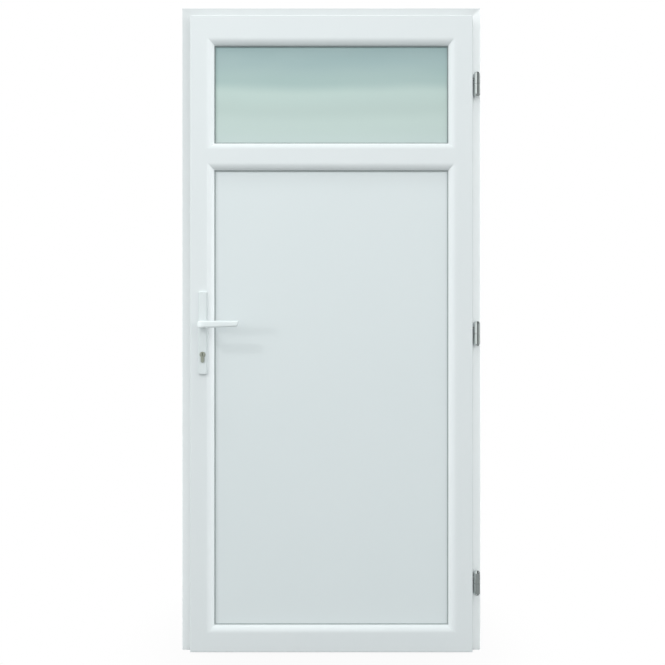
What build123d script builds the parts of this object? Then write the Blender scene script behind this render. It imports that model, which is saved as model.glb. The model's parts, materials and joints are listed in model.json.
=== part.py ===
from build123d import *
import os

# White plastic front door in its frame, closed, in millimetres.
# X runs along the wall, Y runs from the room to the outside, Z is up from the floor.

# Frame
frame_width = 930
frame_height = 2000
frame_depth = 60
frame_face = 40
stop_depth = 14
stop_overlap = 4
frame_round = 2.5

# Leaf and its place in the frame
side_margin = 30
head_margin = 34
floor_gap = 5
leaf_proud = 26
clearance = 5
sash_step = 17
leaf_round = 3.5
stile_flat = 51
top_flat = 68
bottom_flat = 58
mid_flat = 38.5
mid_rail_height = 1532
rebate_depth = 44
nose_lip = 4
nose_slope = 10
drain_length = 28
drain_height = 5
drain_depth = 8
drain_offset = 230
drain_rise = 9

# Glazing and infill panel
bead_width = 22
bead_flat = 2
bead_drop = 10.5
bead_foot = 3
bead_foot_depth = 7
unit_thickness = 24
pane_thickness = 4
unit_edge_gap = 5
spacer_width = 9
spacer_inset = 3
front_gasket = 3
rear_gasket = 4
gasket_show = 3
gasket_bed = 14

# Weather seals
seal_width = 4
seal_gap = 0.5
leaf_seal_inset = 7

# Threshold
threshold_round = 2
threshold_ramp = 6
tread_count = 4
tread_pitch = 8
tread_width = 2.5
tread_depth = 1

# Hinges
hinge_radius = 10
hinge_length = 69
hinge_split = 1
hinge_taper = 2.5
hinge_tip = 8
hinge_end_inset = 209
hinge_pin = 4
hinge_pin_gap = 0.3
hinge_pin_reach = 26
hinge_stud = 4.5
hinge_stud_reach = 30
hinge_axis_depth = 14

# Lock, plates and cylinder
handle_inset = 41
handle_height = 1013.5
lock_centres = 92
plate_width = 26
plate_thickness = 9
plate_above = 102
plate_below = 62
plate_corner = 6
plate_edge = 3
cylinder_radius = 8.5
cylinder_leg = 10
cylinder_height = 33
cylinder_proud = 3
cylinder_gap = 0.4
keyway_width = 2
keyway_height = 8.5
keyway_depth = 12
faceplate_width = 20
faceplate_length = 1740
faceplate_thickness = 3
latch_height = 32
latch_width = 12
latch_proud = 1.5
strike_width = 24
strike_length = 190
strike_thickness = 2
strike_slot_width = 15
strike_slot_height = 38
strike_pocket = 12

# Lever and spindle
lever_reach = 118
lever_root = 22
lever_tip = 18.5
lever_slant = 5
lever_thickness = 13
lever_projection = 60
lever_outer_bend = 24
lever_inner_bend = 10
lever_edge = 6
lever_back_edge = 2
lever_tip_edge = 1.5
neck_radius = 9
neck_gap = 0.6
neck_entry = 3
spindle_side = 8
spindle_entry = 24
spindle_hole = 8

# Planes of the assembly
face_y = -frame_depth / 2
back_y = frame_depth / 2
stop_y = back_y - stop_depth
leaf_y = face_y - leaf_proud
overlap_y = face_y - clearance
sash_y = stop_y - clearance
middle_y = (leaf_y + sash_y) / 2
frame_half = frame_width / 2
wall_half = frame_half - frame_face
leaf_half = frame_half - side_margin
leaf_top = frame_height - head_margin
leaf_bottom = floor_gap
leaf_height = leaf_top - leaf_bottom
sash_half = leaf_half - sash_step
stop_half = sash_half - stop_overlap
sash_top = leaf_top - sash_step
sash_bottom = leaf_bottom + sash_step
wall_gap = wall_half - sash_half
threshold_height = sash_bottom - wall_gap
rebate_y = leaf_y + rebate_depth
unit_back_y = rebate_y - rear_gasket
unit_front_y = unit_back_y - unit_thickness
bead_back_y = unit_front_y - front_gasket
hinge_x = leaf_half + clearance + hinge_radius
hinge_y = leaf_y + hinge_axis_depth
handle_x = -leaf_half + handle_inset
cylinder_z = handle_height - lock_centres
hinge_heights = {
    "bottom": leaf_bottom + hinge_end_inset,
    "middle": (leaf_bottom + leaf_top) / 2,
    "top": leaf_top - hinge_end_inset,
}

# Rebated openings in the leaf: half width, lower edge and upper edge at the rebate walls
opening_half = leaf_half - stile_flat
light = (opening_half, mid_rail_height + mid_flat / 2, leaf_top - top_flat)
field = (opening_half, leaf_bottom + bottom_flat, mid_rail_height - mid_flat / 2)


def block(x0, x1, y0, y1, z0, z1):
    """A plain box between two corners."""
    middle = Pos((x0 + x1) / 2, (y0 + y1) / 2, (z0 + z1) / 2)
    return middle * Box(x1 - x0, y1 - y0, z1 - z0)


def section(points, rounded=()):
    """A closed outline with chosen corners rounded, each given as a point and a radius."""
    face = Polygon(*points, align=None)
    for point, radius in rounded:
        corner = face.vertices().sort_by_distance((point[0], point[1], 0))[0]
        face = fillet(corner, radius)
    return face


def upright(face, bottom, top):
    """A bar with the outline seen from above, between two heights."""
    return Pos(0, 0, bottom) * extrude(face, top - bottom, dir=(0, 0, 1))


def lying(face, half_length):
    """A bar along X with the outline drawn in depth and height."""
    return extrude(Plane.YZ * face, half_length, dir=(1, 0, 0), both=True)


def mitre_mask(outline):
    """A prism through the whole depth of the door with the outline seen from the front."""
    return extrude(Plane.XZ * Polygon(*outline, align=None), frame_width, both=True)


def ring(opening, outside, inside, y0, y1):
    """A rectangular ring round an opening, its two edges set in from the opening's edge."""
    half, low, high = opening
    outer = block(outside - half, half - outside, y0, y1, low + outside, high - outside)
    inner = block(inside - half, half - inside, y0, y1, low + inside, high - inside)
    return outer - inner


# Frame


def jamb_section():
    """Jamb seen from above on the lock side: a square bar with a stop along its outer edge."""
    outer = (-frame_half, face_y)
    inner = (-wall_half, face_y)
    points = [
        outer,
        inner,
        (-wall_half, stop_y),
        (-stop_half, stop_y),
        (-stop_half, back_y),
        (-frame_half, back_y),
    ]
    return section(points, [(outer, frame_round), (inner, frame_round)])


def jamb():
    """Lock-side jamb, standing on the floor and mitred at the top."""
    bar = upright(jamb_section(), 0, frame_height)
    reach = frame_half - stop_half
    outline = [
        (-frame_half, 0),
        (-stop_half, 0),
        (-stop_half, frame_height - reach),
        (-frame_half, frame_height),
    ]
    return bar & mitre_mask(outline)


def frame_head():
    """Head bar, mitred on to both jambs."""
    head_wall = frame_height - frame_face
    head_stop = sash_top - stop_overlap
    outer = (face_y, frame_height)
    inner = (face_y, head_wall)
    points = [
        outer,
        (back_y, frame_height),
        (back_y, head_stop),
        (stop_y, head_stop),
        (stop_y, head_wall),
        inner,
    ]
    bar = lying(section(points, [(outer, frame_round), (inner, frame_round)]), frame_half)
    mitre_end = frame_height - (frame_half - stop_half)
    outline = [
        (-frame_half, frame_height),
        (-stop_half, mitre_end),
        (-stop_half, head_stop),
        (stop_half, head_stop),
        (stop_half, mitre_end),
        (frame_half, frame_height),
    ]
    return bar & mitre_mask(outline)


def stud_hole_in_jamb(height):
    """Bore for the stud of one frame knuckle."""
    return frame_stud(height - hinge_length / 4)


def frame_hinge_jamb():
    """Hinge-side jamb with a bore for each knuckle stud."""
    bar = mirror(jamb(), about=Plane.YZ)
    for height in hinge_heights.values():
        bar -= stud_hole_in_jamb(height)
    return bar


def frame_lock_jamb():
    """Lock-side jamb with a recess for the strike plate and a pocket behind each of its slots."""
    bar = jamb() - strike_blank()
    for height in (handle_height, cylinder_z):
        bar -= strike_slot(height, strike_thickness + strike_pocket)
    return bar


def threshold():
    """Low sill between the jambs, with an upstand that the leaf closes against."""
    upstand = sash_bottom + stop_overlap
    front = (face_y, threshold_height)
    ridge = (back_y - threshold_ramp, upstand)
    points = [
        (face_y, 0),
        (back_y, 0),
        (back_y, threshold_height),
        ridge,
        (stop_y, upstand),
        (stop_y, threshold_height),
        front,
    ]
    bar = lying(section(points, [(front, threshold_round), (ridge, threshold_round)]), wall_half)
    for number in range(tread_count):
        y = stop_y - (number + 1) * tread_pitch
        bar -= block(-wall_half, wall_half, y - tread_width, y, threshold_height - tread_depth, threshold_height)
    plan = [
        (-wall_half, face_y),
        (wall_half, face_y),
        (wall_half, stop_y),
        (stop_half, stop_y),
        (stop_half, back_y),
        (-stop_half, back_y),
        (-stop_half, stop_y),
        (-wall_half, stop_y),
    ]
    return bar & upright(section(plan), 0, upstand)


def frame_weatherseal():
    """Soft ring on the stop, just short of the closed leaf."""
    sash = (sash_half, sash_bottom, sash_top)
    return ring(sash, 0, seal_width, sash_y + seal_gap, stop_y)


def strike_blank():
    """Keep plate before its slots are cut, set flush in the rebate wall."""
    middle = (handle_height + cylinder_z) / 2
    groove = (sash_y + overlap_y) / 2
    return block(
        -wall_half - strike_thickness,
        -wall_half,
        groove - strike_width / 2,
        groove + strike_width / 2,
        middle - strike_length / 2,
        middle + strike_length / 2,
    )


def strike_slot(height, depth):
    """Slot for a bolt, cut into the rebate wall to a depth."""
    groove = (sash_y + overlap_y) / 2
    return block(
        -wall_half - depth,
        -wall_half,
        groove - strike_slot_width / 2,
        groove + strike_slot_width / 2,
        height - strike_slot_height / 2,
        height + strike_slot_height / 2,
    )


def strike_plate():
    """Metal keep with one slot for the latch and one for the bolt."""
    plate = strike_blank()
    for height in (handle_height, cylinder_z):
        plate -= strike_slot(height, strike_thickness)
    return plate


# Hinges


def frame_stud(height):
    """Stud that runs from a barrel back into the jamb."""
    reach = face_y + hinge_stud_reach - hinge_y
    stud = extrude(Plane.XZ * Circle(hinge_stud), reach, dir=(0, 1, 0))
    return Pos(hinge_x, hinge_y, height) * stud


def leaf_stud(height):
    """Stud that runs from a barrel sideways into the leaf."""
    reach = hinge_x - leaf_half + hinge_stud_reach
    stud = extrude(Plane.YZ * Circle(hinge_stud), reach, dir=(-1, 0, 0))
    return Pos(hinge_x, hinge_y, height) * stud


def barrel_half():
    """Lower half of a hinge barrel, turned to a taper at its end, standing on its own base."""
    length = (hinge_length - hinge_split) / 2
    outline = [
        (0, 0),
        (hinge_tip, 0),
        (hinge_radius, hinge_taper),
        (hinge_radius, length),
        (0, length),
    ]
    return revolve(Plane.XZ * section(outline), Axis.Z)


def hinge_frame_knuckle(height):
    """Fixed lower knuckle: half barrel, pin and stud."""
    base = height - hinge_length / 2
    pin_length = hinge_length / 2 + hinge_pin_reach
    pin = extrude(Circle(hinge_pin), pin_length - hinge_taper, dir=(0, 0, 1))
    barrel = barrel_half() + Pos(0, 0, hinge_taper) * pin
    return Pos(hinge_x, hinge_y, base) * barrel + frame_stud(height - hinge_length / 4)


def hinge_leaf_knuckle(height):
    """Turning upper knuckle: half barrel with a bore for the pin, and a stud."""
    top = height + hinge_length / 2
    barrel = Pos(hinge_x, hinge_y, top) * mirror(barrel_half(), about=Plane.XY)
    knuckle = barrel + leaf_stud(height + hinge_length / 4)
    bore = extrude(Circle(hinge_pin + hinge_pin_gap), hinge_pin_reach + hinge_pin_gap, dir=(0, 0, 1))
    return knuckle - Pos(hinge_x, hinge_y, height) * bore


# Leaf


def leaf_plan():
    """The leaf as one block seen from above: a wide overlap in front of a narrower sash."""
    left = (-leaf_half, leaf_y)
    right = (leaf_half, leaf_y)
    points = [
        left,
        right,
        (leaf_half, overlap_y),
        (sash_half, overlap_y),
        (sash_half, sash_y),
        (-sash_half, sash_y),
        (-sash_half, overlap_y),
        (-leaf_half, overlap_y),
    ]
    face = section(points, [(left, leaf_round), (right, leaf_round)])
    return upright(face, leaf_bottom, leaf_top)


def stile():
    """Plain lock-side stile, mitred at both ends."""
    wall = -leaf_half + stile_flat
    lip = wall + bead_width
    outer = (-leaf_half, leaf_y)
    points = [
        outer,
        (wall, leaf_y),
        (wall, rebate_y),
        (lip, rebate_y),
        (lip, rebate_y + nose_lip),
        (lip - nose_slope, sash_y),
        (-sash_half, sash_y),
        (-sash_half, overlap_y),
        (-leaf_half, overlap_y),
    ]
    bar = upright(section(points, [(outer, leaf_round)]), leaf_bottom, leaf_top)
    width = stile_flat + bead_width
    outline = [
        (-leaf_half, leaf_bottom),
        (lip, leaf_bottom + width),
        (lip, leaf_top - width),
        (-leaf_half, leaf_top),
    ]
    return bar & mitre_mask(outline)


def edge_rail(edge, flat, inward):
    """Top or bottom rail, its ends shaped to the stiles; inward is the way to the middle of the leaf."""
    wall = edge + inward * flat
    lip = wall + inward * bead_width
    step = edge + inward * sash_step
    outer = (leaf_y, edge)
    points = [
        outer,
        (overlap_y, edge),
        (overlap_y, step),
        (sash_y, step),
        (sash_y, lip - inward * nose_slope),
        (rebate_y + nose_lip, lip),
        (rebate_y, lip),
        (rebate_y, wall),
        (leaf_y, wall),
    ]
    bar = lying(section(points, [(outer, leaf_round)]), leaf_half)
    return (bar & leaf_plan()) - stile() - mirror(stile(), about=Plane.YZ)


def leaf_top_rail():
    """Top rail of the leaf."""
    return edge_rail(leaf_top, top_flat, -1)


def drain_slot(side, height):
    """Slot in the outside face of a rail, where water from the rebate runs out."""
    slot = extrude(Plane.XZ * SlotOverall(drain_length, drain_height), drain_depth, dir=(0, -1, 0))
    return Pos(side * drain_offset, sash_y, height) * slot


def leaf_bottom_rail():
    """Bottom rail of the leaf, with a pair of drain slots on the outside."""
    rail = edge_rail(leaf_bottom, bottom_flat, 1)
    height = leaf_bottom + bottom_flat - drain_rise
    return rail - drain_slot(-1, height) - drain_slot(1, height)


def leaf_mid_rail():
    """Mid rail, rebated on both sides, coped to the stiles and drained on the outside."""
    low = mid_rail_height - mid_flat / 2
    high = mid_rail_height + mid_flat / 2
    low_lip = low - bead_width
    high_lip = high + bead_width
    points = [
        (leaf_y, low),
        (rebate_y, low),
        (rebate_y, low_lip),
        (rebate_y + nose_lip, low_lip),
        (sash_y, low_lip + nose_slope),
        (sash_y, high_lip - nose_slope),
        (rebate_y + nose_lip, high_lip),
        (rebate_y, high_lip),
        (rebate_y, high),
        (leaf_y, high),
    ]
    bar = lying(section(points), sash_half) - stile() - mirror(stile(), about=Plane.YZ)
    return bar - drain_slot(-1, high - drain_rise) - drain_slot(1, high - drain_rise)


def leaf_lock_stile():
    """Lock stile with a groove for the faceplate and holes for the spindle and the cylinder."""
    hole = extrude(Plane.XZ * Circle(spindle_hole), leaf_proud + frame_depth, both=True)
    bar = stile() - Pos(handle_x, 0, handle_height) * hole
    return bar - faceplate_blank() - cylinder_body(0, leaf_y, sash_y)


def leaf_hinge_stile():
    """Hinge stile with a bore for each knuckle stud."""
    bar = mirror(stile(), about=Plane.YZ)
    for height in hinge_heights.values():
        bar -= leaf_stud(height + hinge_length / 4)
    return bar


def leaf_weatherseal():
    """Soft ring on the back of the overlap, just short of the frame."""
    leaf = (leaf_half, leaf_bottom, leaf_top)
    return ring(leaf, leaf_seal_inset, leaf_seal_inset + seal_width, overlap_y, face_y - seal_gap)


# Glazing


def bead_section():
    """Bead seen along its length: flush flat, convex roll down to the glass, and a foot in the rebate."""
    run = bead_width - bead_flat
    radius = (run**2 + bead_drop**2) / (2 * bead_drop)
    roll_end_y = leaf_y + bead_drop
    roll = RadiusArc((bead_flat, leaf_y), (bead_width, roll_end_y), -radius)
    sides = Polyline(
        (bead_width, roll_end_y),
        (bead_width, bead_back_y),
        (bead_foot, bead_back_y),
        (bead_foot, bead_back_y + bead_foot_depth),
        (0, bead_back_y + bead_foot_depth),
        (0, leaf_y),
        (bead_flat, leaf_y),
    )
    return make_face(Curve() + [roll, sides])


def bead(length):
    """Bead mitred at both ends, standing against a rebate wall at X = 0."""
    bar = extrude(bead_section(), length / 2, dir=(0, 0, 1), both=True)
    outline = [
        (0, -length / 2),
        (bead_width, bead_width - length / 2),
        (bead_width, length / 2 - bead_width),
        (0, length / 2),
    ]
    return bar & mitre_mask(outline)


def beads(opening):
    """The four beads round one opening."""
    half, low, high = opening
    middle = (low + high) / 2
    return {
        "left": Pos(-half, 0, middle) * bead(high - low),
        "right": Pos(half, 0, middle) * Rot(0, 180, 0) * bead(high - low),
        "top": Pos(0, 0, high) * Rot(0, 90, 0) * bead(half * 2),
        "bottom": Pos(0, 0, low) * Rot(0, -90, 0) * bead(half * 2),
    }


def infill(opening, y0, y1):
    """A sheet in a rebated opening, clear of the rebate walls."""
    half, low, high = opening
    gap = unit_edge_gap
    return block(gap - half, half - gap, y0, y1, low + gap, high - gap)


def glass_spacer():
    """Ring that holds the two panes apart."""
    outside = unit_edge_gap + spacer_inset
    inner_y = unit_front_y + pane_thickness
    outer_y = unit_back_y - pane_thickness
    return ring(light, outside, outside + spacer_width, inner_y, outer_y)


def inside_gasket(opening):
    """Grey ring between the beads and the glass or panel."""
    show = bead_width + gasket_show
    return ring(opening, show - gasket_bed, show, bead_back_y, unit_front_y)


def outside_gasket(opening):
    """Grey ring between the glass or panel and the outer lip of the rebate."""
    show = bead_width + gasket_show
    return ring(opening, show - gasket_bed, show, unit_back_y, rebate_y)


# Lock and handle


def faceplate_blank():
    """Long strip set flush in the edge of the lock stile."""
    groove = (sash_y + overlap_y) / 2
    middle = (leaf_bottom + leaf_top) / 2
    return block(
        -sash_half,
        -sash_half + faceplate_thickness,
        groove - faceplate_width / 2,
        groove + faceplate_width / 2,
        middle - faceplate_length / 2,
        middle + faceplate_length / 2,
    )


def lock_faceplate():
    """Lock strip with the nose of the latch and of the bolt just proud of it."""
    strip = faceplate_blank()
    groove = (sash_y + overlap_y) / 2
    for height in (handle_height, cylinder_z):
        strip += block(
            -sash_half - latch_proud,
            -sash_half,
            groove - latch_width / 2,
            groove + latch_width / 2,
            height - latch_height / 2,
            height + latch_height / 2,
        )
    return strip


def cylinder_outline(gap):
    """Profile cylinder seen from the front: a circle with a leg below it."""
    leg = cylinder_leg + 2 * gap
    drop = cylinder_height - cylinder_radius - cylinder_leg / 2
    barrel = Circle(cylinder_radius + gap)
    shank = Pos(0, -drop / 2) * Rectangle(leg, drop)
    return barrel + shank + Pos(0, -drop) * Circle(leg / 2)


def cylinder_body(gap, y0, y1):
    """Profile cylinder, or the hole for it, between two depths."""
    body = extrude(Plane.XZ * cylinder_outline(gap), y1 - y0, dir=(0, 1, 0))
    return Pos(handle_x, y0, cylinder_z) * body


def lock_cylinder():
    """Cylinder through stile and plates, with a keyway at each end."""
    inside_y = leaf_y - plate_thickness - cylinder_proud
    outside_y = sash_y + plate_thickness + cylinder_proud
    body = cylinder_body(0, inside_y, outside_y)
    for end in (inside_y, outside_y):
        keyway = Box(keyway_width, 2 * keyway_depth, keyway_height)
        body -= Pos(handle_x, end, cylinder_z) * keyway
    return body


def inside_back_plate():
    """Narrow plate with rounded corners and bevelled edges, bored for the lever and the cylinder."""
    low = cylinder_z - plate_below
    high = handle_height + plate_above
    outline = Plane.XZ * RectangleRounded(plate_width, high - low, plate_corner)
    plate = extrude(outline, plate_thickness, dir=(0, -1, 0))
    plate = chamfer(plate.edges().group_by(Axis.Y)[0], plate_edge)
    plate = Pos(handle_x, leaf_y, (low + high) / 2) * plate
    bore = extrude(Plane.XZ * Circle(neck_radius + neck_gap), plate_thickness, dir=(0, -1, 0))
    plate -= Pos(handle_x, leaf_y, handle_height) * bore
    return plate - cylinder_body(cylinder_gap, leaf_y - plate_thickness, leaf_y)


def lever_plan():
    """Lever seen from above: a neck that bends into a straight arm."""
    base = -plate_thickness - clearance
    arm_back = lever_thickness - lever_projection
    outer = (-neck_radius, -lever_projection)
    inner = (neck_radius, arm_back)
    points = [
        (-neck_radius, base),
        outer,
        (lever_reach, -lever_projection),
        (lever_reach, arm_back),
        inner,
        (neck_radius, base),
    ]
    return section(points, [(outer, lever_outer_bend), (inner, lever_inner_bend)])


def lever_front():
    """Lever seen from the front: a level top edge, a rising lower edge and a slanted tip."""
    top = lever_root / 2
    return section([
        (-neck_radius, top),
        (lever_reach, top),
        (lever_reach - lever_slant, top - lever_tip),
        (neck_radius, -top),
        (-neck_radius, -top),
    ])


def lever_long_edges(arm, front):
    """Edges that run along the lever, on its outer side where the palm rests or on its back."""
    foot = arm.edges().group_by(Axis.Y)[-1]
    tip = arm.faces().sort_by(Axis.X)[-1]
    middle_of_arm = lever_thickness / 2 - lever_projection
    chosen = ShapeList()
    for edge in (arm.edges() - foot - tip.edges()).filter_by(Axis.Z, reverse=True):
        place = edge.center()
        if (place.X < 0 or place.Y < middle_of_arm) == front:
            chosen.append(edge)
    return chosen


def inside_lever():
    """Bent lever, well rounded in front and eased at the back, on a round collar with a square socket."""
    base = -plate_thickness - clearance
    sides = extrude(Plane.XZ * lever_front(), lever_projection, dir=(0, -1, 0))
    arm = extrude(lever_plan(), lever_root / 2, both=True) & sides
    arm = chamfer(lever_long_edges(arm, False), lever_back_edge)
    arm = fillet(lever_long_edges(arm, True), lever_edge)
    tip = arm.faces().sort_by(Axis.X)[-1]
    arm = chamfer(tip.edges(), lever_tip_edge)
    collar = extrude(Plane.XZ * Circle(neck_radius), clearance + neck_entry, dir=(0, 1, 0))
    lever = arm + Pos(0, base, 0) * collar
    return Pos(handle_x, leaf_y, handle_height) * lever - handle_spindle()


def handle_spindle():
    """Square bar that joins the two levers through the stile."""
    length = sash_y - leaf_y + 2 * (plate_thickness - neck_entry + spindle_entry)
    bar = Box(spindle_side, length, spindle_side)
    return Pos(handle_x, middle_y, handle_height) * bar


def outside(piece):
    """The same handle piece on the other side of the leaf."""
    return mirror(piece, about=Plane.XZ.offset(-middle_y))


def door():
    """Every piece of the door by its node name."""
    pieces = {
        "frame_lock_jamb": frame_lock_jamb(),
        "frame_hinge_jamb": frame_hinge_jamb(),
        "frame_head": frame_head(),
        "threshold": threshold(),
        "frame_weatherseal": frame_weatherseal(),
        "strike_plate": strike_plate(),
        "leaf_lock_stile": leaf_lock_stile(),
        "leaf_hinge_stile": leaf_hinge_stile(),
        "leaf_top_rail": leaf_top_rail(),
        "leaf_mid_rail": leaf_mid_rail(),
        "leaf_bottom_rail": leaf_bottom_rail(),
        "leaf_weatherseal": leaf_weatherseal(),
        "door_panel": infill(field, unit_front_y, unit_back_y),
        "inner_glass_pane": infill(light, unit_front_y, unit_front_y + pane_thickness),
        "outer_glass_pane": infill(light, unit_back_y - pane_thickness, unit_back_y),
        "glass_spacer": glass_spacer(),
        "inside_glass_gasket": inside_gasket(light),
        "outside_glass_gasket": outside_gasket(light),
        "inside_panel_gasket": inside_gasket(field),
        "outside_panel_gasket": outside_gasket(field),
        "lock_faceplate": lock_faceplate(),
        "lock_cylinder": lock_cylinder(),
        "inside_back_plate": inside_back_plate(),
        "outside_back_plate": outside(inside_back_plate()),
        "inside_lever": inside_lever(),
        "outside_lever": outside(inside_lever()),
        "handle_spindle": handle_spindle(),
    }
    for side, piece in beads(light).items():
        pieces[f"glass_bead_{side}"] = piece
    for side, piece in beads(field).items():
        pieces[f"panel_bead_{side}"] = piece
    for place, height in hinge_heights.items():
        pieces[f"hinge_frame_knuckle_{place}"] = hinge_frame_knuckle(height)
        pieces[f"hinge_leaf_knuckle_{place}"] = hinge_leaf_knuckle(height)
    return pieces


os.makedirs("parts", exist_ok=True)
for name, piece in door().items():
    export_step(piece, f"parts/{name}.step")
    print(name, len(piece.solids()), round(piece.volume))
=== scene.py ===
# %% [markdown]
# # A white plastic front door, dressed and lit
# The door comes from CAD as a fixed frame: every bar, bead, pane and lever is already at its real size
# and place. This lesson gives each piece its finish, adds the small fittings that were left out of the
# solids, and sets up the floor, the light and the camera. Loading comes first, because every later step
# asks the frame where things are.

# %% Load the door
import json
import math

import bmesh
import bpy
from mathutils import Matrix, Vector


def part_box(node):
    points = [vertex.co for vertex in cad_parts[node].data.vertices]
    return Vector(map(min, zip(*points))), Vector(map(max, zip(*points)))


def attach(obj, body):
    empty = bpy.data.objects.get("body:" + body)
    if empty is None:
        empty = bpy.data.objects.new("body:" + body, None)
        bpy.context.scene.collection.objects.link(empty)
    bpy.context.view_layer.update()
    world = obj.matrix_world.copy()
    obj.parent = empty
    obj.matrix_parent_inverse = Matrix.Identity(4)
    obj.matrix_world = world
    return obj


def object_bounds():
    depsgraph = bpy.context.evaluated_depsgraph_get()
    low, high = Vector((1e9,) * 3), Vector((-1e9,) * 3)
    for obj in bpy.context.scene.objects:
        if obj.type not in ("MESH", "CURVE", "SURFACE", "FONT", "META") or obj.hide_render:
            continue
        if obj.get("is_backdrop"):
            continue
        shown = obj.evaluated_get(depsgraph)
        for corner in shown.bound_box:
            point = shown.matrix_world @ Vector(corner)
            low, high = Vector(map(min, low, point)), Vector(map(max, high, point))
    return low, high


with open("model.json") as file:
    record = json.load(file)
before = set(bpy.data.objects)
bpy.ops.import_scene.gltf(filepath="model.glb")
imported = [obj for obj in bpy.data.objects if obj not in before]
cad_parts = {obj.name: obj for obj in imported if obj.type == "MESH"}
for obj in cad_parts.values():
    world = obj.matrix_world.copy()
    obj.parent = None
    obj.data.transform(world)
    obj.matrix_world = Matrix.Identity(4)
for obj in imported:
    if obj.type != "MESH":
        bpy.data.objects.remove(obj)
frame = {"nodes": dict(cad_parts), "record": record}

cad_low, cad_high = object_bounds()
nodes = frame["nodes"]
MM = 0.001
print(len(nodes), "nodes from", [round(v, 3) for v in cad_low], "to", [round(v, 3) for v in cad_high])

# %% [markdown]
# ## The camera
# The photograph looks at the closed door square-on, from the room side and at about half its height. The
# lens could be guessed by eye, but the frame's outer edges give it: the frame is this many pixels wide in
# the picture and this many metres wide in the model, so lens and distance follow from each other. The
# distance comes from how far the leaf, which stands proud, hangs below the jambs in the picture.

# %% Place the camera
PICTURE = 665
SENSOR = 36.0
CAMERA_DISTANCE = 1.90
FRAME_WIDTH_PIXELS = 298.4
CAMERA_HEIGHT = 0.989
CAMERA_SIDE = 0.0036

jamb_low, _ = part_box("frame_lock_jamb")
_, jamb_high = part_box("frame_hinge_jamb")
frame_width = jamb_high.x - jamb_low.x
frame_face = jamb_low.y
focal_pixels = FRAME_WIDTH_PIXELS / frame_width * CAMERA_DISTANCE

camera_data = bpy.data.cameras.new("door_camera")
camera_data.sensor_width = SENSOR
camera_data.lens = focal_pixels * SENSOR / PICTURE
camera = bpy.data.objects.new("door_camera", camera_data)
camera.location = (CAMERA_SIDE, frame_face - CAMERA_DISTANCE, CAMERA_HEIGHT)
camera.rotation_euler = (math.radians(90), 0, 0)
bpy.context.scene.collection.objects.link(camera)
bpy.context.scene.camera = camera
print("lens", round(camera_data.lens, 2), "mm at", round(CAMERA_DISTANCE, 2), "m")

# %% [markdown]
# ## Node helpers
# Materials here are small graphs of shader nodes. Wiring them line by line is long, so a few helpers do
# it: they add a node and set its values, link two sockets, fill a colour ramp, start a node group with
# named sockets, put such a group in a material, and start a material. Groups are used for effects that
# several finishes share.


# %% Helpers for shader graphs
def add(tree, kind, **settings):
    """A new node; settings that name an input set that input, the rest set the node itself."""
    node = tree.nodes.new(kind)
    for key, value in settings.items():
        name = key.replace("_", " ").title()
        if name in node.inputs:
            node.inputs[name].default_value = value
        else:
            setattr(node, key, value)
    return node


def wire(tree, source, target):
    """Links an output socket to an input socket."""
    tree.links.new(source, target)


def set_ramp(node, stops):
    """Gives a colour ramp its stops, each a position and a colour."""
    elements = node.color_ramp.elements
    while len(elements) < len(stops):
        elements.new(0.5)
    for element, (position, colour) in zip(elements, stops):
        element.position = position
        element.color = colour


def start_group(name, inputs, outputs):
    """An empty shader node group with named sockets; returns the group and its two ends."""
    group = bpy.data.node_groups.new(name, "ShaderNodeTree")
    for label, kind, value in inputs:
        socket = group.interface.new_socket(label, in_out="INPUT", socket_type=kind)
        socket.default_value = value
    for label, kind in outputs:
        group.interface.new_socket(label, in_out="OUTPUT", socket_type=kind)
    return group, group.nodes.new("NodeGroupInput"), group.nodes.new("NodeGroupOutput")


def place_group(tree, group, **values):
    """Puts a group in a material and sets its inputs."""
    node = tree.nodes.new("ShaderNodeGroup")
    node.node_tree = group
    for key, value in values.items():
        node.inputs[key.replace("_", " ").title()].default_value = value
    return node


def new_material(name, **sockets):
    """A material with one Principled shader whose plain values are set directly on its sockets."""
    material = bpy.data.materials.new(name)
    material.use_nodes = True
    shader = material.node_tree.nodes["Principled BSDF"]
    for key, value in sockets.items():
        shader.inputs[key.replace("_", " ").title().replace("Ior", "IOR")].default_value = value
    return material, material.node_tree, shader


FLOAT = "NodeSocketFloat"
COLOR = "NodeSocketColor"
VECTOR = "NodeSocketVector"
PLAIN_WHITE = (1, 1, 1, 1)
print("helpers ready")

# %% [markdown]
# ## Shared effect: mottle
# No moulded or drawn surface has one exact colour. Under a soft light, white plastic drifts a little
# between a cooler and a warmer white over a hand's width. A painted texture could do this, but a noise
# field in object space needs no picture, has no seams, and moves with the leaf when it swings.

# %% Mottle group
mottle, enter, leave = start_group(
    "Mottle",
    [
        ("Main", COLOR, PLAIN_WHITE),
        ("Other", COLOR, PLAIN_WHITE),
        ("Scale", FLOAT, 6.0),
        ("Share", FLOAT, 0.5),
    ],
    [("Color", COLOR), ("Mask", FLOAT)],
)
where = add(mottle, "ShaderNodeTexCoord")
cloud = add(mottle, "ShaderNodeTexNoise", detail=4.0, roughness=0.55)
mask = add(mottle, "ShaderNodeMath", operation="MULTIPLY")
blend = add(mottle, "ShaderNodeMix", data_type="RGBA")
wire(mottle, where.outputs["Object"], cloud.inputs["Vector"])
wire(mottle, enter.outputs["Scale"], cloud.inputs["Scale"])
wire(mottle, cloud.outputs["Fac"], mask.inputs[0])
wire(mottle, enter.outputs["Share"], mask.inputs[1])
wire(mottle, mask.outputs[0], blend.inputs["Factor"])
wire(mottle, enter.outputs["Main"], blend.inputs["A"])
wire(mottle, enter.outputs["Other"], blend.inputs["B"])
wire(mottle, blend.outputs["Result"], leave.inputs["Color"])
wire(mottle, mask.outputs[0], leave.inputs["Mask"])
print("group", mottle.name)

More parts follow.
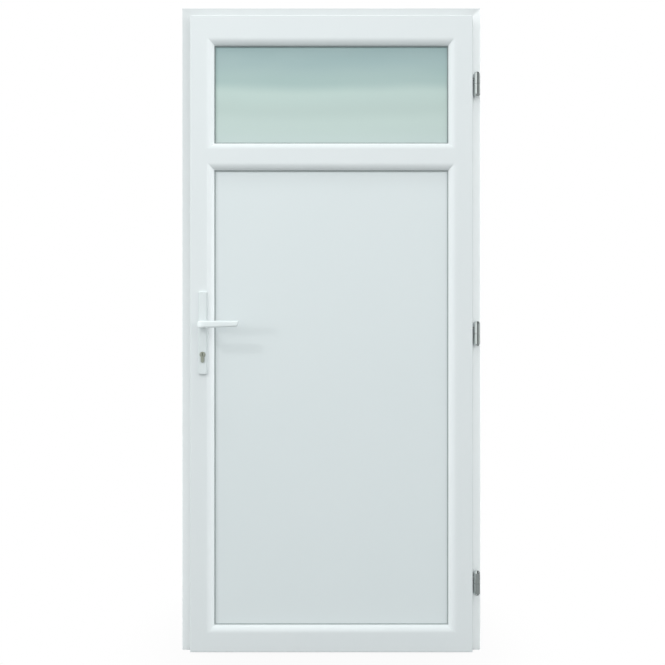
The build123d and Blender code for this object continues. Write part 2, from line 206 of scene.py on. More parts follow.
# %% [markdown]
# ## Shared effect: drawn lines
# Plastic bars and metal strips are pushed through a die or brushed, which leaves faint lines along their
# length. Bump nodes need a height, so this group stretches a noise field: a low scale along the bar and a
# high one across it. The same lines also vary the roughness a little, which is what makes a highlight
# look drawn out.

# %% Drawn lines group
drawn_lines, enter, leave = start_group(
    "Drawn lines",
    [("Stretch", VECTOR, (1, 1, 1)), ("Dull", FLOAT, 0.4), ("Bright", FLOAT, 0.3)],
    [("Height", FLOAT), ("Roughness", FLOAT)],
)
where = add(drawn_lines, "ShaderNodeTexCoord")
stretched = add(drawn_lines, "ShaderNodeVectorMath", operation="MULTIPLY")
streak = add(drawn_lines, "ShaderNodeTexNoise", scale=1.0, detail=3.0, roughness=0.6)
range_node = add(drawn_lines, "ShaderNodeMapRange")
wire(drawn_lines, where.outputs["Object"], stretched.inputs[0])
wire(drawn_lines, enter.outputs["Stretch"], stretched.inputs[1])
wire(drawn_lines, stretched.outputs[0], streak.inputs["Vector"])
wire(drawn_lines, streak.outputs["Fac"], range_node.inputs["Value"])
wire(drawn_lines, enter.outputs["Bright"], range_node.inputs["To Min"])
wire(drawn_lines, enter.outputs["Dull"], range_node.inputs["To Max"])
wire(drawn_lines, streak.outputs["Fac"], leave.inputs["Height"])
wire(drawn_lines, range_node.outputs["Result"], leave.inputs["Roughness"])
print("group", drawn_lines.name)

# %% [markdown]
# ## Shared effect: fine pebble
# Powder coat, rubber and obscured glass all have a skin of tiny bumps, at different sizes and depths. One
# group gives the height of such a skin, and each finish asks for its own size. At a very low scale it
# gives the slow waves of the panel and of float glass.

# %% Fine pebble group
pebble, enter, leave = start_group("Fine pebble", [("Scale", FLOAT, 900.0)], [("Height", FLOAT)])
where = add(pebble, "ShaderNodeTexCoord")
skin = add(pebble, "ShaderNodeTexNoise", detail=2.0, roughness=0.5)
wire(pebble, where.outputs["Object"], skin.inputs["Vector"])
wire(pebble, enter.outputs["Scale"], skin.inputs["Scale"])
wire(pebble, skin.outputs["Fac"], leave.inputs["Height"])
print("group", pebble.name)

# %% [markdown]
# ## Shared effect: wall side
# The faces of the frame bars that go against the wall are painted a darker grey: painted shade, so that
# they do not burn out white under the side light. Those faces could get a material of their own, but a
# mask that compares a point with the frame's outer box does it without touching the mesh. Both frame
# materials use it.

# %% Wall side group
SKIN = 0.3 * MM
_, head_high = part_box("frame_head")
wall_side, enter, leave = start_group("Wall side", [], [("Mask", FLOAT)])
where = add(wall_side, "ShaderNodeTexCoord")
split = add(wall_side, "ShaderNodeSeparateXYZ")
across = add(wall_side, "ShaderNodeMath", operation="ABSOLUTE")
at_side = add(wall_side, "ShaderNodeMath", operation="GREATER_THAN")
at_side.inputs[1].default_value = -jamb_low.x - SKIN
at_top = add(wall_side, "ShaderNodeMath", operation="GREATER_THAN")
at_top.inputs[1].default_value = head_high.z - SKIN
either = add(wall_side, "ShaderNodeMath", operation="MAXIMUM")
wire(wall_side, where.outputs["Object"], split.inputs[0])
wire(wall_side, split.outputs["X"], across.inputs[0])
wire(wall_side, across.outputs[0], at_side.inputs[0])
wire(wall_side, split.outputs["Z"], at_top.inputs[0])
wire(wall_side, at_side.outputs[0], either.inputs[0])
wire(wall_side, at_top.outputs[0], either.inputs[1])
wire(wall_side, either.outputs[0], leave.inputs["Mask"])
print("group", wall_side.name)

# %% [markdown]
# ## White plastic bars
# Frame, leaf and beads are extruded white plastic with a satin sheen. The colour is a cool white rather
# than pure white, or it would vanish against the background. The frame's bars are painted a shade whiter
# than the leaf's: painted light, for the extra side light their strips catch. Upright and lying bars need
# their die lines in different directions, so one function makes all four materials.

# %% Extruded plastic
PLASTIC_IOR = 1.53


def extruded_plastic(name, stretch, white, cool):
    """Cool white extruded plastic with faint die lines along one axis."""
    material, tree, shader = new_material(name, ior=PLASTIC_IOR)
    colour = place_group(tree, mottle, main=white, other=cool, scale=5.0, share=0.9)
    lines = place_group(tree, drawn_lines, stretch=stretch, dull=0.36, bright=0.28)
    bump = add(tree, "ShaderNodeBump", strength=0.05, distance=0.0004)
    wire(tree, colour.outputs["Color"], shader.inputs["Base Color"])
    wire(tree, lines.outputs["Roughness"], shader.inputs["Roughness"])
    wire(tree, lines.outputs["Height"], bump.inputs["Height"])
    wire(tree, bump.outputs["Normal"], shader.inputs["Normal"])
    return material


LEAF_WHITE = (0.812, 0.835, 0.845, 1)
LEAF_COOL = (0.778, 0.812, 0.825, 1)
# The frame's whites are painted a shade lighter than the leaf's: painted light on the same plastic.
FRAME_PAINTED_LIGHT_WHITE = (0.845, 0.862, 0.866, 1)
FRAME_PAINTED_LIGHT_COOL = (0.815, 0.838, 0.847, 1)
ALONG_Z = (420.0, 420.0, 1.4)
ALONG_X = (1.4, 420.0, 420.0)
leaf_upright = extruded_plastic("leaf_bar_upright", ALONG_Z, LEAF_WHITE, LEAF_COOL)
leaf_lying = extruded_plastic("leaf_bar_lying", ALONG_X, LEAF_WHITE, LEAF_COOL)
frame_upright = extruded_plastic("frame_bar_upright", ALONG_Z, FRAME_PAINTED_LIGHT_WHITE, FRAME_PAINTED_LIGHT_COOL)
frame_lying = extruded_plastic("frame_bar_lying", ALONG_X, FRAME_PAINTED_LIGHT_WHITE, FRAME_PAINTED_LIGHT_COOL)
print("materials", [m.name for m in (leaf_upright, leaf_lying, frame_upright, frame_lying)])

# %% Painted shade on the wall faces of the frame bars
# Painted shade: the wall faces are darkened to grey so that they keep their form under the side light.
WALL_SIDE_PAINTED_SHADE = (0.56, 0.58, 0.59, 1)


def paint_wall_side_shade(material):
    """Paints shade, a darker grey, on the wall faces of a frame material."""
    tree = material.node_tree
    shader = tree.nodes["Principled BSDF"]
    white = shader.inputs["Base Color"].links[0].from_socket
    mask = place_group(tree, wall_side)
    painted_shade = add(tree, "ShaderNodeMix", data_type="RGBA")
    painted_shade.inputs["B"].default_value = WALL_SIDE_PAINTED_SHADE
    wire(tree, mask.outputs["Mask"], painted_shade.inputs["Factor"])
    wire(tree, white, painted_shade.inputs["A"])
    wire(tree, painted_shade.outputs["Result"], shader.inputs["Base Color"])


for material in (frame_upright, frame_lying):
    paint_wall_side_shade(material)
    print("grey core in", material.name)

# %% [markdown]
# ## The infill panel
# The panel is a flat plastic skin on foam. Such skins are never quite flat: over a span of a few hundred
# millimetres they wave by a hair, which shows only in the way they catch the light. A very wide, very
# shallow bump gives that, under the same fine sheen as the bars.

# %% Panel skin
PANEL_WHITE = (0.785, 0.825, 0.835, 1)
PANEL_COOL = (0.755, 0.803, 0.815, 1)
panel_skin, tree, shader = new_material("white_panel_skin", ior=PLASTIC_IOR)
colour = place_group(tree, mottle, main=PANEL_WHITE, other=PANEL_COOL, scale=3.0, share=0.9)
lines = place_group(tree, drawn_lines, stretch=(40.0, 40.0, 3.0), dull=0.42, bright=0.34)
wave = place_group(tree, pebble, scale=4.0)
fine = add(tree, "ShaderNodeBump", strength=0.03, distance=0.0003)
wide = add(tree, "ShaderNodeBump", strength=0.10, distance=0.004)
wire(tree, colour.outputs["Color"], shader.inputs["Base Color"])
wire(tree, lines.outputs["Roughness"], shader.inputs["Roughness"])
wire(tree, wave.outputs["Height"], wide.inputs["Height"])
wire(tree, lines.outputs["Height"], fine.inputs["Height"])
wire(tree, wide.outputs["Normal"], fine.inputs["Normal"])
wire(tree, fine.outputs["Normal"], shader.inputs["Normal"])
print("material", panel_skin.name)

# %% [markdown]
# ## Handle enamel
# Lever and plates are white too, but they are cast metal under a baked coat with a slight orange-peel
# skin. A thin clear coat on the shader gives the soft highlight along the lever's upper edge.

# %% Baked white coat
COAT_WHITE = (0.785, 0.822, 0.828, 1)
COAT_COOL = (0.755, 0.800, 0.810, 1)
handle_coat, tree, shader = new_material(
    "white_baked_coat", coat_weight=0.12, coat_roughness=0.18, roughness=0.38
)
colour = place_group(tree, mottle, main=COAT_WHITE, other=COAT_COOL, scale=40.0, share=0.7)
peel = place_group(tree, pebble, scale=700.0)
bump = add(tree, "ShaderNodeBump", strength=0.06, distance=0.0003)
wire(tree, colour.outputs["Color"], shader.inputs["Base Color"])
wire(tree, peel.outputs["Height"], bump.inputs["Height"])
wire(tree, bump.outputs["Normal"], shader.inputs["Normal"])
print("material", handle_coat.name)

# %% [markdown]
# ## Obscured glass
# The light at the top cannot be seen through: its inner pane is etched, so it scatters what comes from
# behind and takes a green-grey tone. Real scattering inside a pane is slow to trace, so the etched pane
# is a rough, partly transmitting surface. Over the tint its colour carries painted shade: a colour ramp
# over the pane's own height paints it darker under the head and lighter towards the mid rail, with a soft
# step between, and a noise field that is drawn out sideways paints faint reflection streaks across it.

# %% Etched inner pane: tint and painted shade over its height
SWAY = 0.05
# Green-grey tint with painted shade over it: darker under the head, lighter towards the mid rail.
GLASS_TINT_AND_PAINTED_SHADE = [
    (0.00, (0.676, 0.783, 0.764, 1)),
    (0.24, (0.662, 0.785, 0.745, 1)),
    (0.37, (0.614, 0.739, 0.698, 1)),
    (0.51, (0.635, 0.771, 0.729, 1)),
    (0.63, (0.480, 0.630, 0.608, 1)),
    (0.82, (0.425, 0.570, 0.572, 1)),
    (1.00, (0.412, 0.560, 0.570, 1)),
]
pane_low, pane_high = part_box("inner_glass_pane")
etched_glass, tree, shader = new_material("etched_glass", transmission_weight=0.15, ior=1.5)
where = add(tree, "ShaderNodeTexCoord")
split = add(tree, "ShaderNodeSeparateXYZ")
drift = add(tree, "ShaderNodeTexNoise", scale=2.2, detail=2.0)
sway = add(tree, "ShaderNodeMath", operation="MULTIPLY_ADD")
sway.inputs[1].default_value = SWAY
height = add(tree, "ShaderNodeMapRange")
height.inputs["From Min"].default_value = pane_low.z + SWAY / 2
height.inputs["From Max"].default_value = pane_high.z + SWAY / 2
tone = add(tree, "ShaderNodeValToRGB")
set_ramp(tone, GLASS_TINT_AND_PAINTED_SHADE)
tone.color_ramp.interpolation = "EASE"
wire(tree, where.outputs["Object"], split.inputs[0])
wire(tree, where.outputs["Object"], drift.inputs["Vector"])
wire(tree, drift.outputs["Fac"], sway.inputs[0])
wire(tree, split.outputs["Z"], sway.inputs[2])
wire(tree, sway.outputs[0], height.inputs["Value"])
wire(tree, height.outputs["Result"], tone.inputs["Fac"])
print("material", etched_glass.name, "over", round(pane_high.z - pane_low.z, 3), "m")

# %% Etched inner pane: painted reflection streaks
# Painted reflection: faint streaks drawn out sideways over the tint and painted shade.
PAINTED_REFLECTION_STRETCH = (3.0, 3.0, 14.0)
PAINTED_REFLECTION_TONE = (0.60, 0.71, 0.69, 1)
drawn_out = add(tree, "ShaderNodeVectorMath", operation="MULTIPLY")
drawn_out.inputs[1].default_value = PAINTED_REFLECTION_STRETCH
streak = add(tree, "ShaderNodeTexNoise", scale=1.0, detail=2.0)
share = add(tree, "ShaderNodeMapRange", from_min=0.35, from_max=0.65, to_max=0.16)
painted_reflections = add(tree, "ShaderNodeMix", data_type="RGBA")
painted_reflections.inputs["B"].default_value = PAINTED_REFLECTION_TONE
wire(tree, where.outputs["Object"], drawn_out.inputs[0])
wire(tree, drawn_out.outputs[0], streak.inputs["Vector"])
wire(tree, streak.outputs["Fac"], share.inputs["Value"])
wire(tree, share.outputs["Result"], painted_reflections.inputs["Factor"])
wire(tree, tone.outputs["Color"], painted_reflections.inputs["A"])
wire(tree, painted_reflections.outputs["Result"], shader.inputs["Base Color"])
print("streaks in", etched_glass.name)

# %% Etched inner pane: frost
frost = place_group(tree, pebble, scale=1500.0)
bump = add(tree, "ShaderNodeBump", strength=0.15, distance=0.0002)
rough = add(tree, "ShaderNodeMapRange", to_min=0.30, to_max=0.42)
wire(tree, frost.outputs["Height"], rough.inputs["Value"])
wire(tree, rough.outputs["Result"], shader.inputs["Roughness"])
wire(tree, frost.outputs["Height"], bump.inputs["Height"])
wire(tree, bump.outputs["Normal"], shader.inputs["Normal"])
print("frost on", etched_glass.name)

# %% [markdown]
# ## Clear outer pane
# The pane towards the outside is plain float glass with its faint green tint. Its only relief is a slow
# waviness, just enough to bend a reflection.

# %% Float glass
PALE_TINT = (0.86, 0.93, 0.90, 1)
GREEN_TINT = (0.83, 0.92, 0.88, 1)
float_glass, tree, shader = new_material("float_glass", transmission_weight=0.95, ior=1.52)
colour = place_group(tree, mottle, main=PALE_TINT, other=GREEN_TINT, scale=3.0, share=0.8)
wave = place_group(tree, pebble, scale=6.0)
bump = add(tree, "ShaderNodeBump", strength=0.04, distance=0.001)
rough = add(tree, "ShaderNodeMapRange", to_min=0.02, to_max=0.06)
wire(tree, colour.outputs["Color"], shader.inputs["Base Color"])
wire(tree, colour.outputs["Mask"], rough.inputs["Value"])
wire(tree, rough.outputs["Result"], shader.inputs["Roughness"])
wire(tree, wave.outputs["Height"], bump.inputs["Height"])
wire(tree, bump.outputs["Normal"], shader.inputs["Normal"])
print("material", float_glass.name)

# %% [markdown]
# ## Gaskets and seals
# The thin dark lines round glass and panel are grey rubber gaskets, a darker grey round the glass. Rubber
# is dull, slightly uneven, and picks up a pale bloom. Mottle gives the bloom and pebble the skin.


# %% Seal rubber
def rubber(name, main, bloom):
    """Dull rubber with a pale bloom."""
    material, tree, shader = new_material(name, specular_ior_level=0.3)
    colour = place_group(tree, mottle, main=main, other=bloom, scale=60.0, share=0.8)
    skin = place_group(tree, pebble, scale=1600.0)
    bump = add(tree, "ShaderNodeBump", strength=0.2, distance=0.0002)
    rough = add(tree, "ShaderNodeMapRange", to_min=0.62, to_max=0.82)
    wire(tree, colour.outputs["Color"], shader.inputs["Base Color"])
    wire(tree, colour.outputs["Mask"], rough.inputs["Value"])
    wire(tree, rough.outputs["Result"], shader.inputs["Roughness"])
    wire(tree, skin.outputs["Height"], bump.inputs["Height"])
    wire(tree, bump.outputs["Normal"], shader.inputs["Normal"])
    return material


SEAL_GREY = (0.37, 0.41, 0.41, 1)
SEAL_BLOOM = (0.45, 0.48, 0.48, 1)
GLASS_SEAL_GREY = (0.25, 0.29, 0.29, 1)
GLASS_SEAL_BLOOM = (0.32, 0.36, 0.36, 1)
seal_rubber = rubber("seal_rubber", SEAL_GREY, SEAL_BLOOM)
glass_seal = rubber("glass_seal", GLASS_SEAL_GREY, GLASS_SEAL_BLOOM)
print("materials", seal_rubber.name, glass_seal.name)

# %% [markdown]
# ## Metals
# Four metals show: polished hinge barrels, a drawn aluminium sill, brushed steel lock strips and the dull
# brass cylinder. They differ in colour, in the direction of their lines, and in how rough and how deep
# those lines are, so one function takes all of these.


# %% Metal finishes
def metal(name, main, other, stretch, bright, dull, relief):
    """A metal with drawn or brushed lines along one axis."""
    material, tree, shader = new_material(name, metallic=1.0)
    colour = place_group(tree, mottle, main=main, other=other, scale=30.0, share=0.8)
    lines = place_group(tree, drawn_lines, stretch=stretch, dull=dull, bright=bright)
    bump = add(tree, "ShaderNodeBump", strength=relief, distance=0.0002)
    wire(tree, colour.outputs["Color"], shader.inputs["Base Color"])
    wire(tree, lines.outputs["Roughness"], shader.inputs["Roughness"])
    wire(tree, lines.outputs["Height"], bump.inputs["Height"])
    wire(tree, bump.outputs["Normal"], shader.inputs["Normal"])
    return material


TURNED = (30.0, 30.0, 900.0)
FINE_ALONG_X = (6.0, 900.0, 900.0)
FINE_ALONG_Z = (900.0, 900.0, 6.0)
EVEN = (500.0, 500.0, 500.0)
hinge_metal = metal(
    "bright_barrel", main=(0.74, 0.77, 0.76, 1), other=(0.66, 0.69, 0.68, 1),
    stretch=TURNED, bright=0.12, dull=0.20, relief=0.05,
)
sill_metal = metal(
    "drawn_aluminium", main=(0.62, 0.63, 0.64, 1), other=(0.54, 0.55, 0.56, 1),
    stretch=FINE_ALONG_X, bright=0.28, dull=0.42, relief=0.12,
)
lock_metal = metal(
    "brushed_steel", main=(0.52, 0.52, 0.51, 1), other=(0.44, 0.44, 0.43, 1),
    stretch=FINE_ALONG_Z, bright=0.25, dull=0.40, relief=0.12,
)
brass_metal = metal(
    "dull_brass", main=(0.56, 0.58, 0.49, 1), other=(0.46, 0.48, 0.41, 1),
    stretch=EVEN, bright=0.28, dull=0.40, relief=0.08,
)
print("metals", [m.name for m in (hinge_metal, sill_metal, lock_metal, brass_metal)])

# %% [markdown]
# ## Dress the CAD pieces
# The record already says which slot each node takes, and most slots have one material. Plastic bars have
# four, chosen by whether a bar belongs to the frame and whether it is taller than it is wide. The two
# panes and the gaskets round the glass are picked by name.

# %% Give every node its material
BY_SLOT = {
    "panel_white": panel_skin,
    "handle_white": handle_coat,
    "seal_rubber": seal_rubber,
    "bright_hinge": hinge_metal,
    "plain_aluminium": sill_metal,
    "lock_steel": lock_metal,
    "cylinder_brass": brass_metal,
}
slot_of = {part["node"]: part["material_slot"] for part in frame["record"]["subparts"]}


def finish_for(name):
    """The material of one CAD node."""
    low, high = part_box(name)
    if name == "inner_glass_pane":
        return etched_glass
    if name == "outer_glass_pane":
        return float_glass
    if name in ("inside_glass_gasket", "outside_glass_gasket"):
        return glass_seal
    if slot_of[name] == "frame_white":
        stands = high.z - low.z > high.x - low.x
        if name.startswith("frame_"):
            return frame_upright if stands else frame_lying
        return leaf_upright if stands else leaf_lying
    return BY_SLOT[slot_of[name]]


for name, node in nodes.items():
    node.data.materials.clear()
    node.data.materials.append(finish_for(name))
print("dressed", len(nodes), "nodes")

# %% [markdown]
# ## Tools for small fittings
# Screws, caps and washers were left out of the solids, because they are small and repeat. They could be
# dropped in as plain cylinders, but a turned profile or a cut recess is what makes them read as real
# fittings. One builder turns a profile round an axis, and another makes a screw head with a cross recess.
# Both build along Z. A third lays copies of what they made against the door and lets them ride on a body.

# %% Turned fittings
WELD = 0.001 * MM


def turned(profile, steps=32):
    """A profile of radius and height in millimetres, turned round Z."""
    shape = bmesh.new()
    line = [shape.verts.new((radius * MM, 0, height * MM)) for radius, height in profile]
    edges = [shape.edges.new(pair) for pair in zip(line, line[1:])]
    bmesh.ops.spin(
        shape, geom=line + edges, cent=(0, 0, 0), axis=(0, 0, 1), angle=math.tau, steps=steps
    )
    bmesh.ops.remove_doubles(shape, verts=shape.verts, dist=WELD)
    return shape


print("turned profiles are welded at", WELD, "m")

# %% Screw heads
HEAD_TAPER = 0.8
CROSS_ARM = 0.55
CROSS_HALF = 0.14


def screw_head(radius, rise, recess):
    """A low screw head with a cross recess, in millimetres."""
    shape = bmesh.new()
    bmesh.ops.create_circle(shape, segments=24, radius=radius * MM)
    lifted = bmesh.ops.extrude_edge_only(shape, edges=shape.edges[:])["geom"]
    top = [item for item in lifted if isinstance(item, bmesh.types.BMVert)]
    bmesh.ops.scale(shape, vec=(HEAD_TAPER, HEAD_TAPER, 1), verts=top)
    bmesh.ops.translate(shape, vec=(0, 0, rise * MM), verts=top)
    rim = [edge for edge in shape.edges if edge.verts[0] in top and edge.verts[1] in top]
    arm, half = CROSS_ARM * radius * MM, CROSS_HALF * radius * MM
    quarter = [(arm, -half), (arm, half), (half, half)]
    cross = []
    for turn in range(4):
        spin = Matrix.Rotation(turn * math.pi / 2, 3, "Z")
        cross += [shape.verts.new(spin @ Vector((x, y, rise * MM))) for x, y in quarter]
    slot = [shape.edges.new((a, b)) for a, b in zip(cross, cross[1:] + cross[:1])]
    bmesh.ops.triangle_fill(shape, use_beauty=True, edges=rim + slot)
    sunk = bmesh.ops.extrude_edge_only(shape, edges=slot)["geom"]
    low = [item for item in sunk if isinstance(item, bmesh.types.BMVert)]
    bmesh.ops.translate(shape, vec=(0, 0, -recess * MM), verts=low)
    floor_edges = [edge for edge in shape.edges if edge.verts[0] in low and edge.verts[1] in low]
    bmesh.ops.edgeloop_fill(shape, edges=floor_edges)
    return shape


print("a cross recess spans", 2 * CROSS_ARM, "of a screw head's radius")

# %% Fittings on the door
SHARP_EDGE = math.radians(35)
RIGHT, LEFT = Vector((1, 0, 0)), Vector((-1, 0, 0))
OUT, IN = Vector((0, 1, 0)), Vector((0, -1, 0))
UP, DOWN = Vector((0, 0, 1)), Vector((0, 0, -1))


def fit(name, shape, places, material, body):
    """One object made of copies of a shape, each laid on a point and facing a way, riding on a body."""
    bmesh.ops.recalc_face_normals(shape, faces=shape.faces)
    mesh = bpy.data.meshes.new(name)
    shape.to_mesh(mesh)
    shape.clear()
    for point, way in places:
        copy = mesh.copy()
        turn = way.to_track_quat("Z", "Y").to_matrix().to_4x4()
        copy.transform(Matrix.Translation(point) @ turn)
        shape.from_mesh(copy)
        bpy.data.meshes.remove(copy)
    shape.to_mesh(mesh)
    shape.free()
    mesh.shade_smooth()
    mesh.set_sharp_from_angle(angle=SHARP_EDGE)
    mesh.materials.append(material)
    piece = bpy.data.objects.new(name, mesh)
    bpy.context.scene.collection.objects.link(piece)
    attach(piece, body)
    print(name, len(places), "copies,", len(mesh.polygons), "faces on", body)


print("fittings stay smooth up to", round(math.degrees(SHARP_EDGE)), "degrees")

# %% [markdown]
# ## Hinge caps and washers
# A domed cap closes each end of a hinge barrel, and a thin washer sits in the split between its two
# halves. The cap is turned from a short curved profile. The washer is a ring with a slightly crowned rim.
# The upper cap belongs to the leaf and the lower one to the frame, so that they turn with the right half.

# %% Hinge caps and washers
HINGE_CAP = [(7.9, 0.0), (7.7, 1.0), (7.0, 2.2), (5.8, 3.2), (4.0, 3.9), (2.0, 4.2), (0.0, 4.3)]
WASHER = [(4.6, -0.4), (9.2, -0.4), (9.5, 0.0), (9.2, 0.4), (4.6, 0.4), (4.6, -0.4)]
tops, bottoms, splits = [], [], []
for place in ("bottom", "middle", "top"):
    low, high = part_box(f"hinge_leaf_knuckle_{place}")
    base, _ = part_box(f"hinge_frame_knuckle_{place}")
    middle_y = (low.y + high.y) / 2
    axis_x = high.x - (high.y - low.y) / 2
    tops.append((Vector((axis_x, middle_y, high.z)), UP))
    bottoms.append((Vector((axis_x, middle_y, base.z)), DOWN))
    splits.append((Vector((axis_x, middle_y, (base.z + high.z) / 2)), UP))
fit("hinge_caps_upper", turned(HINGE_CAP), tops, hinge_metal, "leaf")
fit("hinge_caps_lower", turned(HINGE_CAP), bottoms, hinge_metal, "frame")
fit("hinge_washers", turned(WASHER), splits, hinge_metal, "frame")

# %% [markdown]
# ## Screws in the lock strip, the keep and the sill
# The long lock strip is held by a row of low-headed screws, and so are the keep in the jamb and the
# aluminium sill. Nobody sees them until the door is open. Their even spacing keeps them clear of latch
# and bolt.

# %% Lock strip screws
SCREW = {"radius": 3.6, "rise": 0.5, "recess": 0.9}
STRIP_THICKNESS = 3 * MM
SCREW_END = 30 * MM
STRIP_SCREWS = 10
low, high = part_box("lock_faceplate")
strip_x = high.x - STRIP_THICKNESS
strip_y = (low.y + high.y) / 2
step = (high.z - low.z - 2 * SCREW_END) / (STRIP_SCREWS - 1)
strip_heights = [low.z + SCREW_END + i * step for i in range(STRIP_SCREWS)]
strip_places = [(Vector((strip_x, strip_y, z)), LEFT) for z in strip_heights]
fit("lock_strip_screws", screw_head(**SCREW), strip_places, lock_metal, "leaf")

# %% Keep screws
KEEP_END = 12 * MM
low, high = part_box("strike_plate")
keep_y = (low.y + high.y) / 2
keep_heights = (low.z + KEEP_END, (low.z + high.z) / 2, high.z - KEEP_END)
keep_places = [(Vector((high.x, keep_y, z)), RIGHT) for z in keep_heights]
fit("keep_screws", screw_head(**SCREW), keep_places, lock_metal, "frame")

# %% Sill screws
SILL_SCREW = {"radius": 3.6, "rise": 0.4, "recess": 0.8}
SILL_SCREW_INSET = 9 * MM
SILL_SCREWS = (-0.36, -0.12, 0.12, 0.36)
sill_low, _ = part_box("threshold")
sill_y = sill_low.y + SILL_SCREW_INSET
tread_z = max(v.co.z for v in nodes["threshold"].data.vertices if v.co.y < sill_y)
sill_places = [(Vector((x, sill_y, tread_z)), UP) for x in SILL_SCREWS]
fit("sill_screws", screw_head(**SILL_SCREW), sill_places, lock_metal, "frame")

# %% [markdown]
# ## Caps over the frame fixings
# The frame is screwed to the wall through its rebate, and white caps cover the holes. They are low domes,
# so that the closed leaf clears them.

# %% Cover caps
CAP = [(6.4, 0.0), (6.3, 0.4), (5.4, 0.8), (3.2, 1.05), (0.0, 1.1)]
LOCK_CAPS = (0.25, 0.75, 1.25, 1.75)
HINGE_CAPS = (0.42, 0.78, 1.20, 1.56)
_, keep_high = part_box("strike_plate")
rebate_x = keep_high.x
caps = [(Vector((rebate_x, keep_y, z)), RIGHT) for z in LOCK_CAPS]
caps += [(Vector((-rebate_x, keep_y, z)), LEFT) for z in HINGE_CAPS]
fit("fixing_caps", turned(CAP), caps, handle_coat, "frame")

# %% [markdown]
# ## Ring round the key plug
# The face of the cylinder has a plug that turns with the key. What shows of it is a fine ring round the
# keyway, on both ends of the cylinder.

# %% Plug rings
PLUG_RING = [(5.3, 0.0), (5.5, 0.3), (6.4, 0.3), (6.7, 0.0)]
low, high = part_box("lock_cylinder")
bore = (high.x - low.x) / 2
plug_x, plug_z = low.x + bore, high.z - bore
ends = [(Vector((plug_x, low.y, plug_z)), IN), (Vector((plug_x, high.y, plug_z)), OUT)]
fit("plug_rings", turned(PLUG_RING), ends, brass_metal, "leaf")

# %% [markdown]
# ## Floor
# A studio photograph of a white door stands on a floor that runs off into white. One wide disc is enough.
# Near the door the camera sees a little of its matt surface, which takes a pale shadow, and further out
# it sees only plain white light, so that no horizon shows.

# %% Floor disc
FLOOR_RADIUS = 14.0
floor_mesh = bpy.data.meshes.new("studio_floor")
shape = bmesh.new()
bmesh.ops.create_circle(shape, cap_ends=True, segments=96, radius=FLOOR_RADIUS)
shape.to_mesh(floor_mesh)
shape.free()
floor = bpy.data.objects.new("studio_floor", floor_mesh)
floor.location.z = cad_low.z
bpy.context.scene.collection.objects.link(floor)
floor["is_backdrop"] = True
print("floor radius", FLOOR_RADIUS, "m")

# %% Floor finish
FLOOR_GREY = (0.25, 0.255, 0.255, 1)
FADE_START = 0.25
FADE_END = 0.75
FLOOR_GLOW = 0.95
floor_finish, tree, shader = new_material("studio_white", roughness=0.9, specular_ior_level=0.1)
shader.inputs["Base Color"].default_value = FLOOR_GREY
where = add(tree, "ShaderNodeTexCoord")
reach = add(tree, "ShaderNodeVectorMath", operation="LENGTH")
fade = add(tree, "ShaderNodeMapRange", interpolation_type="SMOOTHSTEP", to_min=FLOOR_GLOW, to_max=1.0)
fade.inputs["From Min"].default_value = FADE_START
fade.inputs["From Max"].default_value = FADE_END
path = add(tree, "ShaderNodeLightPath")
seen = add(tree, "ShaderNodeMath", operation="MULTIPLY")
glow = add(tree, "ShaderNodeEmission", color=PLAIN_WHITE, strength=1.0)
mix = add(tree, "ShaderNodeMixShader")
output = tree.nodes["Material Output"]
wire(tree, where.outputs["Object"], reach.inputs[0])
wire(tree, reach.outputs["Value"], fade.inputs["Value"])
wire(tree, fade.outputs["Result"], seen.inputs[0])
wire(tree, path.outputs["Is Camera Ray"], seen.inputs[1])
wire(tree, seen.outputs[0], mix.inputs[0])
wire(tree, shader.outputs[0], mix.inputs[1])
wire(tree, glow.outputs[0], mix.inputs[2])
wire(tree, mix.outputs[0], output.inputs["Surface"])
floor_mesh.materials.append(floor_finish)
print("floor fades to white from", FADE_START, "to", FADE_END, "m")

# %% [markdown]
# ## Sky
# The photograph has even, soft light from all round, a little stronger from both sides, on a pure white
# background. The hinges also show what stood in the room: they mirror something bright on the left and
# something dark on the right. One sky gives all three, because it can tell what kind of ray asks: the
# camera sees white, a reflection sees a row of tones from left to right, and the rest is the soft light
# that falls on the door.

# %% Sky tones
EVEN_SKY = 0.915
SIDES = 0.42
MIRROR_TONES = [(0.00, 0.95), (0.50, 0.95), (0.62, 0.00), (0.82, 0.00), (0.97, 0.70)]
world = bpy.data.worlds.new("studio_sky")
bpy.context.scene.world = world
world.use_nodes = True
tree = world.node_tree
tree.nodes.clear()
way = add(tree, "ShaderNodeTexCoord")
split = add(tree, "ShaderNodeSeparateXYZ")
side = add(tree, "ShaderNodeMath", operation="ABSOLUTE")
level = add(tree, "ShaderNodeMath", operation="MULTIPLY_ADD")
level.inputs[1].default_value = SIDES
level.inputs[2].default_value = EVEN_SKY
from_left = add(tree, "ShaderNodeMapRange")
from_left.inputs["From Min"].default_value = -1.0
mirrored = add(tree, "ShaderNodeValToRGB")
set_ramp(mirrored, [(position, (tone, tone, tone, 1)) for position, tone in MIRROR_TONES])
wire(tree, way.outputs["Generated"], split.inputs[0])
wire(tree, split.outputs["X"], side.inputs[0])
wire(tree, side.outputs[0], level.inputs[0])
wire(tree, split.outputs["X"], from_left.inputs["Value"])
wire(tree, from_left.outputs["Result"], mirrored.inputs["Fac"])
print("sky", world.name, "with", len(MIRROR_TONES), "mirror tones")

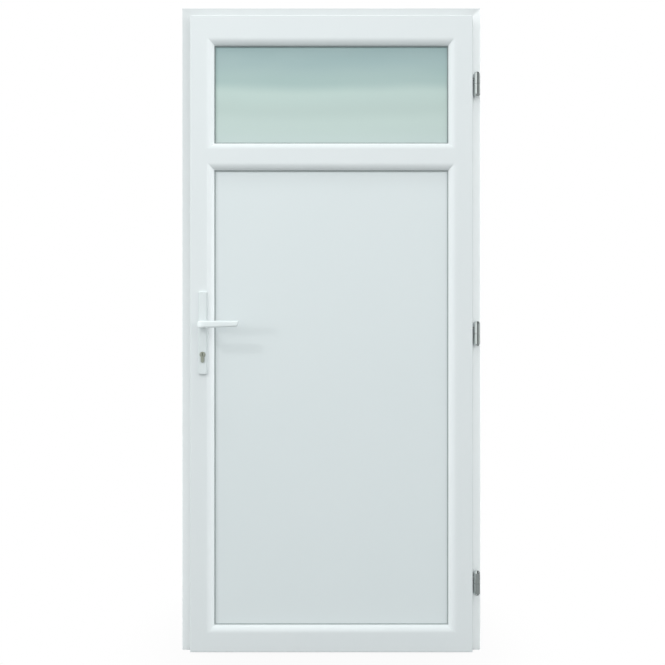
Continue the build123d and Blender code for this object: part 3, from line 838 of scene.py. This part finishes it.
# %% Sky for each kind of ray
SKY_TINT = (0.95, 1.0, 1.0, 1)
path = add(tree, "ShaderNodeLightPath")
choose = add(tree, "ShaderNodeMix", data_type="FLOAT")
soft = add(tree, "ShaderNodeBackground", color=SKY_TINT)
plain = add(tree, "ShaderNodeBackground", color=PLAIN_WHITE, strength=1.0)
mix = add(tree, "ShaderNodeMixShader")
output = add(tree, "ShaderNodeOutputWorld")
wire(tree, path.outputs["Is Glossy Ray"], choose.inputs["Factor"])
wire(tree, level.outputs[0], choose.inputs["A"])
wire(tree, mirrored.outputs["Color"], choose.inputs["B"])
wire(tree, choose.outputs["Result"], soft.inputs["Strength"])
wire(tree, path.outputs["Is Camera Ray"], mix.inputs[0])
wire(tree, soft.outputs[0], mix.inputs[1])
wire(tree, plain.outputs[0], mix.inputs[2])
wire(tree, mix.outputs[0], output.inputs["Surface"])
bpy.context.scene.view_settings.view_transform = "Standard"
print("sky wired, view transform", bpy.context.scene.view_settings.view_transform)

# %% [markdown]
# ## Lamps
# The lever throws two pale shadows to the lower right, so two small lamps stand to the left, one high and
# one low. A lamp overhead leaves the undersides of the beads darker, and a wide soft one in front evens
# out the right half. The beads are brighter on the slopes that turn to the sides. A lamp at the side that
# lit the whole door would also burn out the leaf when it stands open, so each side lamp is linked to only
# those pieces that turn its way. The head and the lock jamb would fade into the white background, so the
# two high lamps leave them out.

# %% Lamp helpers
def lamp(name, place, aim, size, power):
    """A square soft light aimed at a point, hidden from the camera and from reflections."""
    data = bpy.data.lights.new(name, "AREA")
    data.shape = "SQUARE"
    data.size = size
    data.energy = power
    light = bpy.data.objects.new(name, data)
    light.location = place
    light.rotation_euler = (Vector(aim) - Vector(place)).to_track_quat("-Z", "Y").to_euler()
    light.visible_camera = False
    light.visible_glossy = False
    bpy.context.scene.collection.objects.link(light)
    return light


def choice(name, members):
    """A collection of CAD nodes that a lamp lights or leaves out."""
    chosen = bpy.data.collections.new(name)
    for member in members:
        chosen.objects.link(nodes[member])
    return chosen


print("lamp helpers ready")

# %% Lamps for the whole door
AT_HANDLE = (-0.33, -0.1, 1.0)
shaded = choice("shaded", ("frame_head", "frame_lock_jamb"))
for member in shaded.collection_objects:
    member.light_linking.link_state = "EXCLUDE"
overhead = lamp("overhead", (0.0, -0.95, 4.9), (0.0, 0.0, 1.2), size=0.35, power=20.0)
overhead.light_linking.receiver_collection = shaded
left_high = lamp("left_high", (-3.32, -3.5, 4.76), AT_HANDLE, size=0.36, power=40.0)
left_high.light_linking.receiver_collection = shaded
lamp("left_low", (-5.32, -3.5, 2.10), AT_HANDLE, size=0.40, power=36.0)
lamp("right_front", (2.8, -3.4, 1.9), (0.2, 0.0, 1.0), size=2.5, power=16.0)

# %% Lamps for single pieces
turned_right = choice("turned_right", ("glass_bead_left", "panel_bead_left", "frame_hinge_jamb"))
right_fill = lamp("right_fill", (3.0, -0.8, 1.3), (0.0, 0.0, 1.1), size=2.0, power=45.0)
right_fill.light_linking.receiver_collection = turned_right
turned_left = choice(
    "turned_left", ("glass_bead_right", "panel_bead_right", "frame_lock_jamb", "inside_lever")
)
left_fill = lamp("left_fill", (-2.0, -0.6, 0.15), (-0.46, 0.0, 0.1), size=1.0, power=16.0)
left_fill.light_linking.receiver_collection = turned_left

# %% Bounds of everything that is drawn
low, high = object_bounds()
